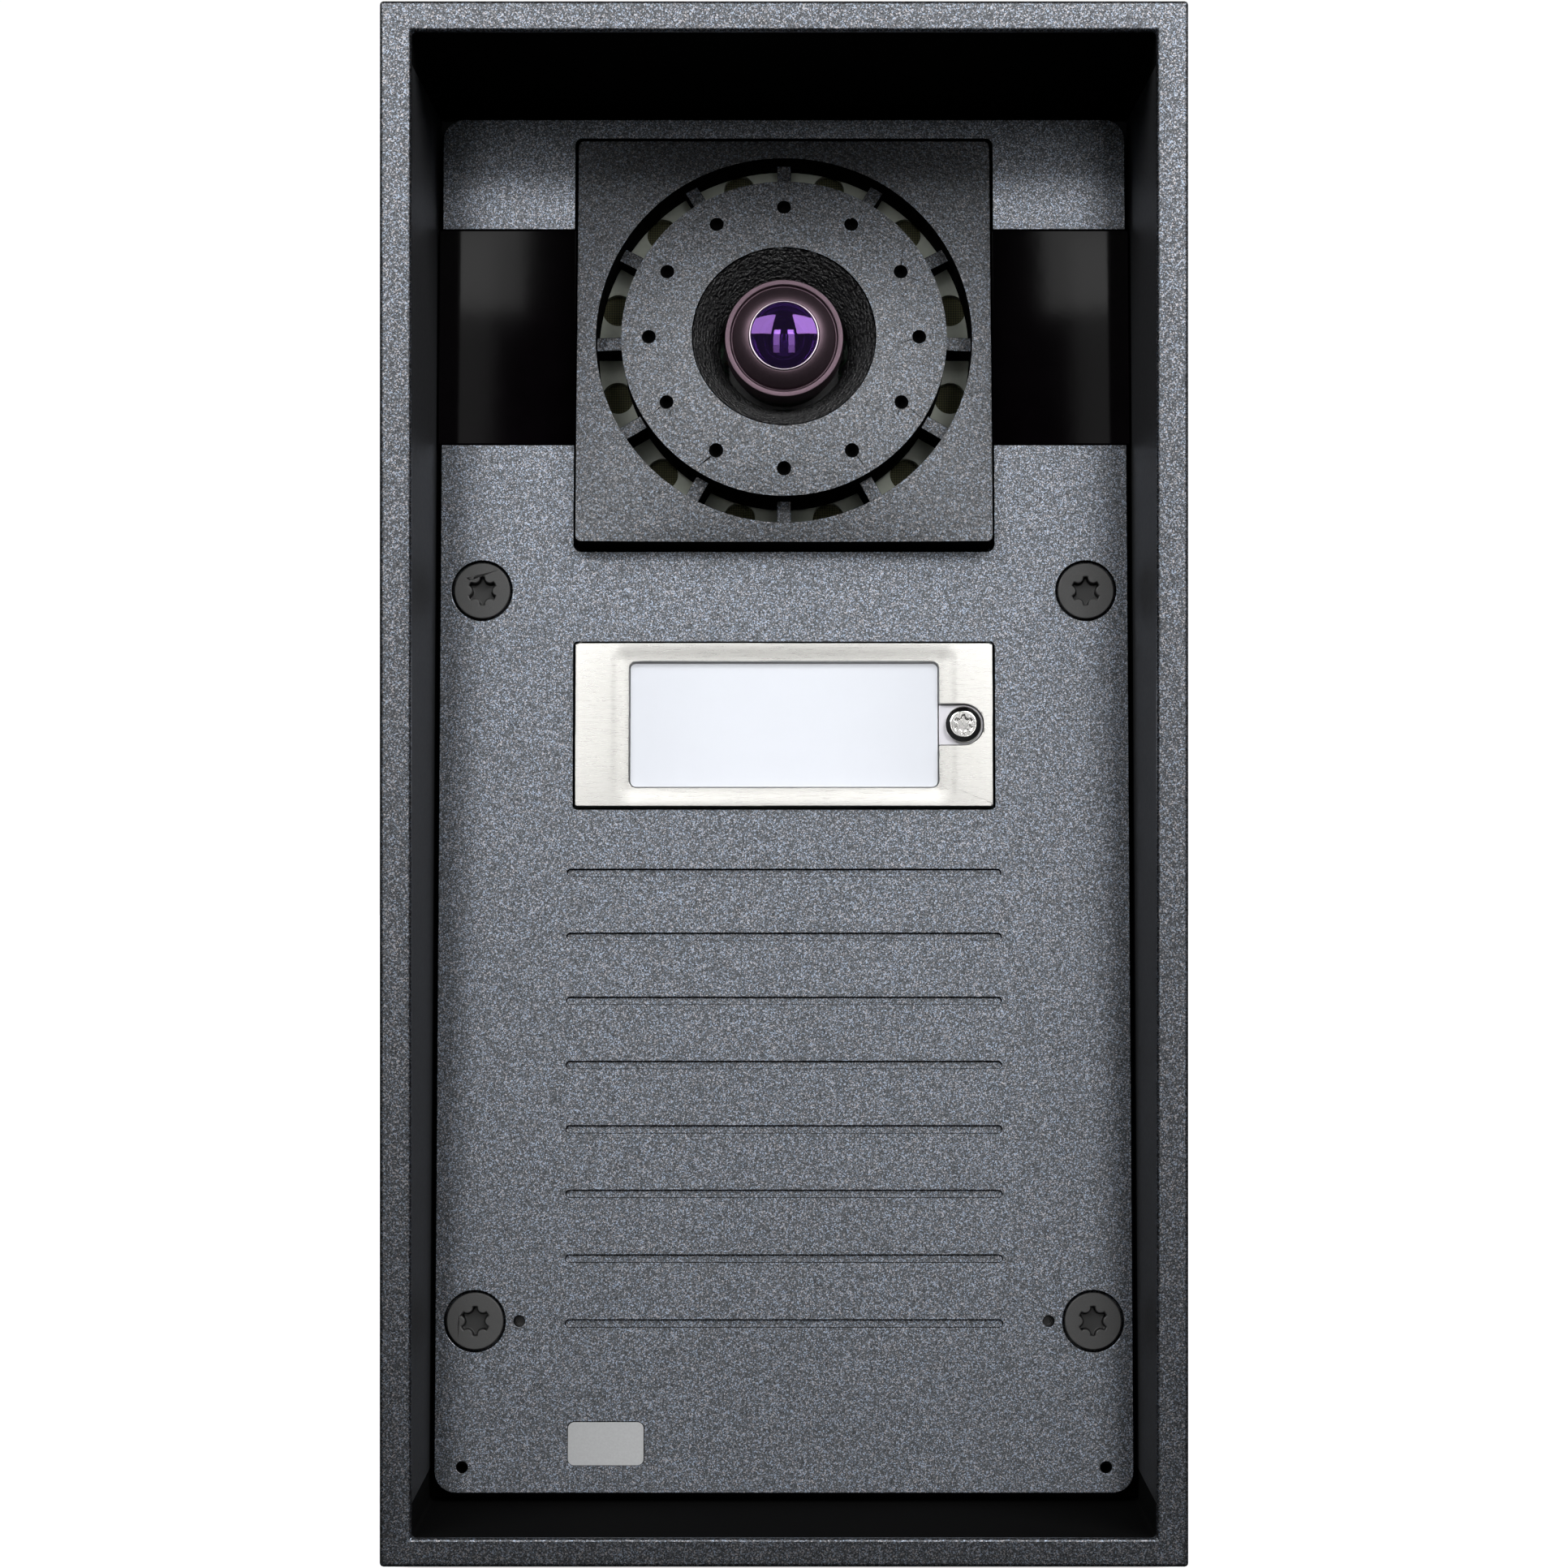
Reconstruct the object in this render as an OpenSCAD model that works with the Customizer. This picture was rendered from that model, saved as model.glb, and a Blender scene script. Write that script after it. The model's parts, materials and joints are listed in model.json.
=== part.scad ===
/* [Housing] */
// Width of the cast housing
body_w = 109; // [107:1:125]
// Height of the housing at the wall
body_h = 217; // [215:1:235]
// Height of the housing at its front rim
rim_h = 211; // [209:1:215]
// Depth of the housing from wall to rim
body_d = 83; // [80:1:110]
// Thickness of the wall behind the electronics
back_t = 4; // [3:0.5:6]
// Width of the recess behind the rim
recess_w = 100.4; // [100.2:0.1:102]
// Height of the hood's underside at the rim, above the middle
recess_top = 101.4; // [99:0.1:102]
// Depth of the recess floor below the middle
recess_bottom = 101.6; // [101.2:0.1:102.5]
// How far the hood's underside slopes down towards the panel
hood_drop = 3.9; // [2:0.1:4.2]

/* [Front panel] */
// Angle by which the panel leans back
panel_tilt = 5.15; // [4:0.05:6]
// Distance from the rim back to the panel, at mid-height
panel_depth = 37.8; // [36:0.1:42]
// Width of the panel
panel_w = 98.8; // [98:0.1:99.4]
// Height of the panel
panel_h = 197.3; // [196.5:0.1:197.6]
// Thickness of the panel
panel_t = 4.5; // [4:0.1:5]
// Corner radius of the panel
panel_r = 3; // [1:0.5:5]
// Compressed thickness of the panel's seal
gasket_t = 1.5; // [1:0.1:2]
// Number of decorative grooves
groove_count = 8; // [1:1:8]
// Distance between grooves
groove_pitch = 9.14; // [6:0.01:9.2]
// Length of a groove
groove_l = 62; // [20:1:66]
// Height of a groove
groove_w = 1.05; // [0.6:0.05:2]
// Depth of a groove
groove_depth = 0.9; // [0.3:0.1:1.5]

/* [Camera] */
// Side of the square camera housing
block_w = 59.4; // [58:0.1:59.8]
// How far the middle of its sloped face stands out of the panel
block_proud = 3.9; // [3.6:0.1:6]
// Extra slope of its face
block_slope = 6.85; // [0:0.05:7]
// Height of the crown in the middle of its face
block_crown = 3.3; // [1:0.1:3.5]
// Radius of the sound opening around the camera disc
ring_r = 27; // [26:0.1:27.4]
// Radius of the camera disc
disc_r = 23.35; // [23:0.05:24.5]
// Number of spokes that hold the disc
spoke_count = 12; // [6:1:16]
// Width of a spoke
spoke_w = 2; // [1.5:0.1:3]
// Radius of the lens barrel
barrel_r = 8.5; // [8:0.1:8.9]

/* [Call button] */
// Width of the name plate's bezel
bezel_w = 59.8; // [58:0.1:60]
// Height of the bezel
bezel_h = 23.5; // [22.5:0.1:24]
// How far the bezel stands out of the panel
bezel_proud = 1.6; // [1.2:0.1:3]
// Width of the name window
window_w = 44.3; // [40:0.1:44.4]
// Height of the name window
window_h = 18.1; // [16:0.1:18.4]
// Free space between the moving button and the panel
button_gap = 0.3; // [0.25:0.05:0.5]

/* [Fixings] */
// Diameter of the panel screws' heads
screw_head_d = 8.1; // [7:0.1:8.4]
// Spacing of the wall fixing holes across
wall_hole_x = 62; // [62:1:64]
// Spacing of the wall fixing holes up
wall_hole_z = 156; // [140:1:158]
// Diameter of the wall fixing holes
wall_hole_d = 5.6; // [4:0.1:7]
// Diameter of the bore in a cable grommet
cable_d = 6; // [4:0.5:8]

/* [Hidden] */
$fn = 96;
eps = 1;

// The panel's frame: its middle in the housing, and heights measured up the panel
panel_y = panel_depth - body_d;
panel_mid = -1.85;
panel_top = panel_mid + panel_h / 2;
ledge_out = -(panel_t + gasket_t);
chamber_w = 90;
chamber_top = 94.5;
chamber_bottom = -95;

// Screws and posts at the panel's corners
panel_screws = [[-43.4, 27.9], [43.4, 27.9], [-43.8, -76.4], [43.8, -76.4]];
post_r = 4.6;
screw_r = 2.45;
screw_hole_r = 2.5;
screw_end = -18;
sink_w = screw_head_d + 0.6;
head_flat = 0.9;
head_cone = 1.6;

// Cable grommets, vent and wall bosses in the housing's back
pocket_depth = 1.2;
pocket_edge = 12;
grommets = [[-14, -84], [14, -84]];
grommet_r = 6.9;
grommet_lip = 9.5;
vent_at = [0, -56];
vent_r = 5;
wall_holes = [for (x = [-1, 1], z = [-1, 1]) [x * wall_hole_x / 2, z * wall_hole_z / 2]];
boss_r = 7;
boss_h = 3;
boss_margin = 1;

// Camera housing
cam = [0, 63.8];
crown_r = (block_w * block_w / 4 + block_crown * block_crown) / (2 * block_crown);
block_reach = 2 * (block_proud + block_crown);
cut_gap = 0.5;
flange_front = -5;
flange_back = -7;
flange_w = 66;
flange_low = 27;
flange_screws = [[-20, 30.3], [20, 30.3], [-33, 87], [33, 87]];
ear_r = 4;
skirt_r = 29.5;
skirt_back = -8;
spoke_sink = 5;
disc_back = -6;
dimple_r = 19.4;
shroud_r = 13.2;
shroud_inner = 9.3;
shroud_low = -2.5;

// Camera, from glass to board
lip_front = 4.7;
glass_front = 6.6;
glass_r = 4.75;
glass_dome = 1.5;
inner_lens_r = 3.2;
inner_lens_back = -1;
thread_r = 6;
thread_end = -12;
holder_w = 16;
board_t = 1.6;
cam_board_w = 34;
cam_board_front = -16;
cam_screws = [for (x = [-14, 14], v = [-14, 14]) [x, cam.y + v]];

// Loudspeaker
baffle_front = -8;
baffle_t = 1.5;
baffle_inner = 22.6;
baffle_hole_r = 2.3;
baffle_hole_at = 25.1;
bracket_back = -20;
basket_r = 25;
basket_back = -28;

// Infrared windows and boards
ir_low = 49.1;
ir_high = 80.6;
ir_t = 2.5;
ir_inner = block_w / 2 + 0.3;
ir_outer = recess_w / 2 - 0.3;
ir_board_x = [33.6, 44.8];
ir_board_front = -6.6;

// Call button
btn = [0, 8.43];
bezel_back = -1.05;
carrier_back = -8;
carrier_in = 0.1;
flange_x = 32;
flange_v = 8;
notch_h = 5.9;
label_screw = [25.65, 0];
actuator_tip = -8.7;

// Main board and what stands on it
main_x = 37;
main_low = -93;
main_high = 26;
main_front = -14;
main_back = main_front - board_t;
main_screws = [for (x = [-34, 34], v = [23.6, -35, -89]) [x, v]];
tamper_at = [26, -30];
tamper_rest = -27;
jack_x = [-31, -15];
jack_v = [-71, -49.5];
jack_h = 13.6;
terminal_v = [-85, -74];
terminal_h = 12;
cell_at = [20, 6];
mic_at = [[-37.5, -76.4], [37.5, -76.4]];
weep_at = [[-45.5, -96.9], [45.5, -96.9]];
badge_at = [-25.2, -93.6];
badge_size = [10.7, 6.05];

// The front of a tilted plane set back from the panel's face, at a height in the housing
function tilted_y(z, out) = panel_y + z * tan(panel_tilt) - out / cos(panel_tilt);

// ---- Shared shapes ----

// A shape drawn in [Y, Z] and made wide across X, centred
module across(width) {
    rotate([90, 0, 90]) linear_extrude(width, center = true) children();
}

// Places its children in the panel's own frame: X across, Z up the panel, -Y out of it
module on_panel() {
    translate([0, panel_y, 0]) rotate([-panel_tilt, 0, 0]) children();
}

// A plate drawn in [X, Z], between two distances out of the panel's face
module plate(from, to) {
    translate([0, -from, 0]) rotate([90, 0, 0]) linear_extrude(to - from) children();
}

// A round bar or cone square to the panel
module bar(at, from, to, r1, r2) {
    translate([at.x, -from, at.y]) rotate([90, 0, 0]) cylinder(h = to - from, r1 = r1, r2 = r2);
}

// A turned piece square to the panel, with its profile drawn in [radius, out]
module turned(at) {
    translate([at.x, 0, at.y]) rotate([90, 0, 0]) rotate_extrude() children();
}

module round_rect(w, h, r) {
    square([w - 2 * r, h], center = true);
    square([w, h - 2 * r], center = true);
    for (x = [-1, 1], y = [-1, 1]) translate([x * (w / 2 - r), y * (h / 2 - r)]) circle(r);
}

module box_2d(x, v) {
    translate([x[0], v[0]]) square([x[1] - x[0], v[1] - v[0]]);
}

module ring_2d(outer, inner) {
    difference() {
        circle(outer);
        circle(inner);
    }
}

// Six-lobed drive, as wide as its tips
module star_2d(tips) difference() {
    circle(tips / 2);
    for (a = [30:60:330]) rotate(a) translate([tips * 0.53, 0]) circle(tips * 0.19);
}

// Everything behind the camera housing's sloped and crowned face, or behind that face sunk by a depth
module behind_face(sink = 0) {
    reach = 2 * block_w;
    translate([0, -block_proud, cam.y]) rotate([-block_slope, 0, 0]) {
        translate([-reach / 2, sink, -reach / 2]) cube([reach, reach, reach]);
        translate([0, sink - block_crown + crown_r, 0]) sphere(crown_r);
    }
}

// A flat strip that follows a path of [out, height] points
module strip(x, width, thick, path) {
    last = len(path) - 1;
    back = [for (i = [last:-1:0]) [path[i].x - thick, path[i].y - thick]];
    outline = [for (p = concat(path, back)) [-p.x, p.y]];
    translate([x, 0, 0]) across(width) polygon(outline);
}

// ---- Housing ----

module housing_outline() {
    polygon([[0, -body_h / 2], [0, body_h / 2], [-body_d, rim_h / 2], [-body_d, -rim_h / 2]]);
}

module recess_outline() {
    low = -recess_bottom;
    high = recess_top - hood_drop;
    front = -body_d - eps;
    rise = hood_drop / (body_d + tilted_y(high, ledge_out));
    polygon([
        [tilted_y(low, ledge_out), low], [tilted_y(high, ledge_out), high],
        [front, recess_top + rise * eps], [front, low]
    ]);
}

module chamber_outline() {
    polygon([
        [-back_t, chamber_bottom], [-back_t, chamber_top],
        [tilted_y(chamber_top, ledge_out) - eps, chamber_top],
        [tilted_y(chamber_bottom, ledge_out) - eps, chamber_bottom]
    ]);
}

// Bar from the housing's back up to a height square to the panel
module casting_post(at, top, r) {
    reach = 60;
    intersection() {
        on_panel() bar(at, -reach, top, r, r);
        translate([-body_w / 2, -reach, -body_h / 2]) cube([body_w, reach - back_t / 2, body_h]);
    }
}

module back_pockets_2d() {
    pocket_h = body_h / 2 - 2 * pocket_edge;
    difference() {
        for (s = [-1, 1]) translate([0, s * (pocket_edge + pocket_h / 2)])
            round_rect(body_w - 20, pocket_h, 4);
        for (p = wall_holes) translate(p) circle(boss_r + boss_margin);
    }
}

// A hole or boss through the housing's back, from one depth to another
module back_bar(at, from, to, r) {
    translate([at.x, -from, at.y]) rotate([90, 0, 0]) cylinder(h = to - from, r = r);
}

module cast_body() {
    color("dimgray") difference() {
        union() {
            difference() {
                across(body_w) housing_outline();
                across(chamber_w) chamber_outline();
            }
            for (p = panel_screws) casting_post(p, ledge_out + eps, post_r);
            casting_post(tamper_at, tamper_rest - 0.3, 3);
            for (p = wall_holes) back_bar(p, back_t / 2, back_t + boss_h, boss_r);
        }
        across(recess_w) recess_outline();
        on_panel() for (p = panel_screws) bar(p, screw_end - 2, ledge_out + eps, screw_hole_r, screw_hole_r);
        translate([0, eps, 0]) rotate([90, 0, 0]) linear_extrude(pocket_depth + eps) back_pockets_2d();
        for (p = wall_holes) back_bar(p, -eps, back_t + boss_h + eps, wall_hole_d / 2);
        for (p = grommets) back_bar(p, -eps, back_t + eps, grommet_r);
        back_bar(vent_at, -eps, back_t + eps, vent_r);
    }
}

// A turned piece in the housing's back, with its profile drawn in [radius, depth]
module back_turned(at) {
    translate([at.x, 0, at.y]) rotate([90, 0, 0]) rotate_extrude() children();
}

module cable_grommets() {
    lip = 1.5;
    color([0.05, 0.05, 0.05]) for (p = grommets) back_turned(p) difference() {
        union() {
            box_2d([0, grommet_r], [0.2, back_t + lip]);
            box_2d([0, grommet_lip], [0.2, pocket_depth]);
            box_2d([0, grommet_lip], [back_t, back_t + lip]);
        }
        box_2d([-eps, cable_d / 2], [-eps, back_t + lip + eps]);
    }
}

module vent_plug() {
    color([0.1, 0.1, 0.1]) back_turned(vent_at) difference() {
        union() {
            box_2d([0, vent_r], [pocket_depth, back_t + 3]);
            box_2d([0, vent_r + 2], [0.3, pocket_depth]);
            box_2d([0, vent_r + 1.5], [back_t, back_t + 2]);
        }
        box_2d([-eps, 2], [-eps, back_t]);
    }
}

// ---- Front panel ----

module panel_outline() {
    translate([0, panel_mid]) round_rect(panel_w, panel_h, panel_r);
}

module camera_cutout() {
    side = block_w + 2 * cut_gap;
    translate(cam) round_rect(side, side, 1);
}

module button_cutout() {
    translate(btn) round_rect(bezel_w + 2 * button_gap, bezel_h + 2 * button_gap, 0.6);
}

module grooves_2d() {
    first = -12.75;
    for (i = [0:groove_count - 1]) translate([0, first - i * groove_pitch]) {
        square([groove_l - groove_w, groove_w], center = true);
        for (s = [-1, 1]) translate([s * (groove_l - groove_w) / 2, 0]) circle(groove_w / 2);
    }
}

module panel_screw_sink(at) {
    cone_low = -head_flat - head_cone;
    bar(at, -head_flat, eps, sink_w / 2, sink_w / 2);
    bar(at, cone_low, -head_flat, screw_r + 0.3, sink_w / 2);
    bar(at, -panel_t - eps, cone_low, screw_r + 0.3, screw_r + 0.3);
}

module ir_pocket(side) {
    pocket = [ir_inner - eps, panel_w / 2 + eps];
    light = [34, 46];
    mirror([side < 0 ? 1 : 0, 0, 0]) {
        plate(-ir_t - 0.1, eps) box_2d(pocket, [ir_low, ir_high]);
        plate(-panel_t - eps, eps) box_2d(light, [ir_low + 4, ir_high - 4]);
    }
}

module front_panel() {
    color([0.41, 0.43, 0.45]) on_panel() difference() {
        union() {
            plate(-panel_t, 0) panel_outline();
            for (p = main_screws) bar(p, main_front, -panel_t + 0.1, 2.6, 2.6);
            for (x = [-39, 39], v = [ir_low + 1.9, ir_high - 1.6])
                bar([x, v], ir_board_front, -panel_t + 0.1, 1.3, 1.3);
        }
        plate(-panel_t - eps, eps) camera_cutout();
        plate(-panel_t - eps, eps) button_cutout();
        plate(-groove_depth, eps) grooves_2d();
        for (p = panel_screws) panel_screw_sink(p);
        for (s = [-1, 1]) ir_pocket(s);
        for (p = main_screws) bar(p, main_front - eps, -7, 1.25, 1.25);
        for (p = flange_screws) bar(p, -panel_t - eps, -1.6, 1.25, 1.25);
        for (p = mic_at) bar(p, -panel_t - eps, eps, 0.78, 0.78);
        for (p = mic_at) bar(p, -panel_t - eps, -2.2, 2.4, 2.4);
        for (p = weep_at) bar(p, -panel_t - eps, eps, 0.8, 0.8);
        plate(-0.3, eps) translate(badge_at) round_rect(badge_size.x + 0.1, badge_size.y + 0.1, 0.95);
    }
}

module panel_gasket() {
    band = 3.6;
    color([0.08, 0.08, 0.08]) on_panel() plate(ledge_out, -panel_t) difference() {
        union() {
            difference() {
                translate([0, panel_mid]) round_rect(panel_w - 0.6, panel_h - 0.6, panel_r);
                box_2d([-panel_w / 2 + band, panel_w / 2 - band], [chamber_bottom, chamber_top + 0.3]);
            }
            for (p = panel_screws) translate(p) circle(post_r);
        }
        for (p = panel_screws) translate(p) circle(screw_r + 0.3);
        for (p = weep_at) translate(p) circle(0.9);
    }
}

module panel_screws() {
    top = -0.1;
    color([0.13, 0.13, 0.13]) on_panel() for (p = panel_screws) difference() {
        union() {
            bar(p, -head_flat, top, screw_head_d / 2, screw_head_d / 2);
            bar(p, -head_flat - head_cone, -head_flat, screw_r, screw_head_d / 2);
            bar(p, screw_end, -head_flat - head_cone, screw_r, screw_r);
        }
        plate(top - 1.9, eps) translate(p) rotate(30) star_2d(4.1);
    }
}

module badge() {
    color([0.75, 0.75, 0.76]) on_panel() plate(-0.3, 0.05) translate(badge_at)
        round_rect(badge_size.x, badge_size.y, 0.9);
}

module microphones() {
    color("silver") on_panel() for (p = mic_at) difference() {
        bar(p, -4.4, -2.4, 1.9, 1.9);
        bar(p, -2.8, -2, 0.5, 0.5);
    }
}

module microphone_boots() {
    color([0.1, 0.1, 0.1]) on_panel() plate(-4.4, -2.2) for (p = mic_at) translate(p)
        ring_2d(2.35, 1.95);
}

// ---- Infrared lamps ----

module ir_window(side) {
    color([0.08, 0.05, 0.07]) on_panel() mirror([side < 0 ? 1 : 0, 0, 0])
        plate(-ir_t, 0) box_2d([ir_inner, ir_outer], [ir_low + 0.05, ir_high - 0.05]);
}

module ir_window_left() {
    ir_window(-1);
}

module ir_window_right() {
    ir_window(1);
}

module ir_board(side) {
    color([0.05, 0.3, 0.12]) on_panel() mirror([side < 0 ? 1 : 0, 0, 0])
        plate(ir_board_front - board_t, ir_board_front) box_2d(ir_board_x, [ir_low + 0.4, ir_high - 0.1]);
}

module ir_board_left() {
    ir_board(-1);
}

module ir_board_right() {
    ir_board(1);
}

module ir_leds() {
    led_r = 1.9;
    color([0.85, 0.85, 0.9]) on_panel() for (x = [-39.5, 39.5], v = [57, 64.85, 72.7]) {
        bar([x, v], ir_board_front, -4.6, led_r, led_r);
        translate([x, 4.6, v]) sphere(led_r);
    }
}

// ---- Camera housing ----

module spokes_2d() {
    for (i = [0:spoke_count - 1]) rotate(i * 360 / spoke_count)
        translate([(disc_r + ring_r) / 2, 0]) square([ring_r - disc_r + 1.2, spoke_w], center = true);
}

module flange_2d() {
    box_2d([-flange_w / 2, flange_w / 2], [flange_low, cam.y + block_w / 2]);
    for (p = flange_screws) translate(p) circle(ear_r);
}

module camera_disc() {
    difference() {
        intersection() {
            bar(cam, disc_back, block_reach, disc_r, disc_r);
            behind_face();
        }
        bar(cam, disc_back - eps, block_reach + eps, shroud_r, shroud_r);
        crown = sqrt(crown_r * crown_r - dimple_r * dimple_r) - crown_r + block_crown;
        for (i = [0:11]) {
            at = [dimple_r * cos(i * 30), cam.y + dimple_r * sin(i * 30)];
            out = block_proud + crown - (at.y - cam.y) * tan(block_slope);
            bar(at, out - 2, out + 0.5, 0.45, 1.15);
        }
    }
}

module camera_housing() {
    color([0.27, 0.28, 0.29]) on_panel() {
        difference() {
            union() {
                intersection() {
                    plate(flange_back, block_reach) translate(cam) round_rect(block_w, block_w, 0.8);
                    behind_face();
                }
                plate(flange_back, flange_front) flange_2d();
                bar(cam, skirt_back, flange_front, skirt_r, skirt_r);
            }
            bar(cam, skirt_back - eps, block_reach + eps, ring_r, ring_r);
            for (p = flange_screws) bar(p, flange_back - eps, flange_front + eps, 1.6, 1.6);
        }
        intersection() {
            plate(skirt_back + 0.1, block_reach) translate(cam) spokes_2d();
            behind_face(spoke_sink);
        }
        camera_disc();
        difference() {
            for (p = cam_screws) bar(p, cam_board_front, disc_back + 0.5, 2.2, 2.2);
            for (p = cam_screws) bar(p, cam_board_front - eps, -9, 0.95, 0.95);
        }
    }
}

module camera_housing_gasket() {
    color([0.08, 0.08, 0.08]) on_panel() plate(flange_front, -panel_t) difference() {
        flange_2d();
        camera_cutout();
        for (p = flange_screws) translate(p) circle(1.6);
    }
}

module pan_screw(at, seat, head_r, head_h, shank_r, shank_l) {
    bar(at, seat - head_h, seat, head_r * 0.8, head_r);
    bar(at, seat - head_h / 2, seat + shank_l, shank_r, shank_r);
}

module camera_housing_screws() {
    color("silver") on_panel() for (p = flange_screws) pan_screw(p, flange_back, 2.6, 1.8, 1.2, 5);
}

module lens_shroud() {
    top = block_proud + block_crown + 2;
    slope = [[shroud_inner, disc_back], [shroud_inner, shroud_low], [shroud_r - 0.1, top]];
    color([0.07, 0.07, 0.07]) on_panel() intersection() {
        turned(cam) polygon(concat(slope, [[shroud_r - 0.05, top], [shroud_r - 0.05, disc_back]]));
        behind_face(0.15);
    }
}

// ---- Camera ----

module lens_barrel() {
    bore = glass_r + 0.3;
    color([0.3, 0.24, 0.26]) on_panel() turned(cam) polygon([
        [bore, thread_end], [thread_r, thread_end], [thread_r, -1.5], [barrel_r, -1.5],
        [barrel_r, lip_front - 0.3], [barrel_r - 0.3, lip_front], [barrel_r - 0.75, lip_front],
        [barrel_r - 0.8, lip_front - 0.3], [barrel_r - 1, lip_front], [bore + 0.3, glass_front], [bore, glass_front]
    ]);
}

module lens_ring() {
    color([0.7, 0.68, 0.7]) on_panel() plate(glass_front, glass_front + 0.25) translate(cam)
        ring_2d(glass_r + 0.55, glass_r + 0.05);
}

module front_lens() {
    dome_r = (glass_r * glass_r + glass_dome * glass_dome) / (2 * glass_dome);
    edge = glass_front + 0.2;
    color([0.25, 0.15, 0.45, 0.6]) on_panel() {
        intersection() {
            bar(cam, edge - 3, edge + glass_dome + eps, glass_r, glass_r);
            translate([0, dome_r - glass_dome - edge, cam.y]) sphere(dome_r);
        }
    }
}

module inner_lens() {
    ball_r = 6;
    top = 2.8;
    color([0.3, 0.2, 0.5, 0.6]) on_panel() intersection() {
        bar(cam, inner_lens_back, top + eps, inner_lens_r, inner_lens_r);
        translate([0, ball_r - top, cam.y]) sphere(ball_r);
    }
}

// Tube between the two lenses, with the aperture stop behind them
module lens_spacer() {
    outer = glass_r + 0.25;
    inner = inner_lens_r + 0.05;
    seat = inner_lens_back - 0.05;
    color([0.03, 0.03, 0.03]) on_panel() turned(cam) polygon([
        [1.3, seat - 2.5], [outer, seat - 2.5], [outer, 3.7], [inner, 3.7], [inner, seat],
        [inner - 0.7, seat], [inner - 0.7, seat - 1.5], [1.3, seat - 1.5]
    ]);
}

module lens_holder() {
    color([0.1, 0.1, 0.1]) on_panel() difference() {
        union() {
            plate(cam_board_front, -9) translate(cam) round_rect(holder_w, holder_w, 1);
            bar(cam, -9.1, -3, 7.6, 7.6);
        }
        bar(cam, cam_board_front - eps, -3 + eps, thread_r + 0.05, thread_r + 0.05);
        plate(cam_board_front - eps, -13) translate(cam) square(12, center = true);
    }
}

module image_sensor() {
    color([0.15, 0.17, 0.25]) on_panel() plate(cam_board_front, cam_board_front + 1) translate(cam)
        square(8, center = true);
}

module camera_board() {
    color([0.05, 0.3, 0.12]) on_panel() plate(cam_board_front - board_t, cam_board_front) difference() {
        translate(cam) round_rect(cam_board_w, cam_board_w, 1.5);
        for (p = cam_screws) translate(p) circle(1.1);
    }
}

module camera_board_screws() {
    seat = cam_board_front - board_t;
    color("silver") on_panel() for (p = cam_screws) pan_screw(p, seat, 1.8, 1.2, 0.9, 7);
}

module camera_ribbon() {
    back = cam_board_front - board_t;
    color([0.85, 0.85, 0.8]) on_panel()
        strip(0, 10, 0.3, [[back, 50], [back, 36], [main_back, 24], [main_back, 19]]);
}

// ---- Loudspeaker ----

module speaker_baffle() {
    color([0.75, 0.77, 0.68]) on_panel() plate(baffle_front - baffle_t, baffle_front) difference() {
        translate(cam) ring_2d(skirt_r, baffle_inner);
        for (i = [0:11]) translate(cam) rotate(15 + i * 30) translate([baffle_hole_at, 0])
            circle(baffle_hole_r);
    }
}

module acoustic_membrane() {
    front = baffle_front - baffle_t;
    color([0.16, 0.16, 0.1]) on_panel() plate(front - 0.3, front) translate(cam)
        ring_2d(skirt_r, baffle_inner);
}

module speaker_bracket() {
    front = baffle_front - baffle_t - 0.3;
    lead_gap = [cam.x - 7, cam.x + 7];
    color([0.12, 0.12, 0.12]) on_panel() difference() {
        union() {
            plate(bracket_back, front) translate(cam) ring_2d(skirt_r, skirt_r - 2.3);
            plate(bracket_back, bracket_back + 1.6) translate(cam) ring_2d(skirt_r, 23);
        }
        plate(bracket_back + 1.6, front + eps) box_2d(lead_gap, [cam.y - 40, cam.y - 20]);
    }
}

module speaker_basket() {
    front = bracket_back;
    color([0.45, 0.46, 0.48]) on_panel() turned(cam) polygon([
        [basket_r, front], [basket_r, front - 1.2], [basket_r - 3, front - 1.2], [14, basket_back - 0.8],
        [9, basket_back - 0.8], [9, basket_back], [13.4, basket_back], [basket_r - 3.6, front - 1.2],
        [basket_r - 3.6, front]
    ]);
}

module speaker_magnet() {
    top = basket_back - 0.8;
    color([0.3, 0.3, 0.32]) on_panel() turned(cam) polygon([
        [0, top - 3.6], [11.5, top - 3.6], [11.5, top], [7, top], [7, top - 2.6], [5.4, top - 2.6],
        [5.4, top + 0.8], [0, top + 0.8]
    ]);
}

module speaker_cone() {
    rim = bracket_back - 0.9;
    color([0.08, 0.08, 0.09]) on_panel() turned(cam) polygon([
        [0, rim - 3.2], [6.6, rim - 3.6], [18, rim - 0.4], [18.6, rim - 0.4], [18.6, rim], [18, rim],
        [6.6, rim - 3.2], [0, rim - 2.6]
    ]);
}

module voice_coil() {
    rim = bracket_back - 0.9;
    color([0.7, 0.4, 0.2]) on_panel() plate(basket_back - 2.4, rim - 3.6) translate(cam) ring_2d(6.5, 5.9);
}

module speaker_surround() {
    rim = bracket_back - 0.9;
    color([0.12, 0.12, 0.12]) on_panel() plate(rim - 0.3, rim) translate(cam)
        ring_2d(basket_r - 3.6, 18.6);
}

module speaker_lead() {
    color([0.6, 0.1, 0.1]) on_panel()
        strip(11, 2.4, 1, [[-21.3, 43], [-21.3, 38], [main_back, 24], [main_back, 20]]);
}

// ---- Call button ----

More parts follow.
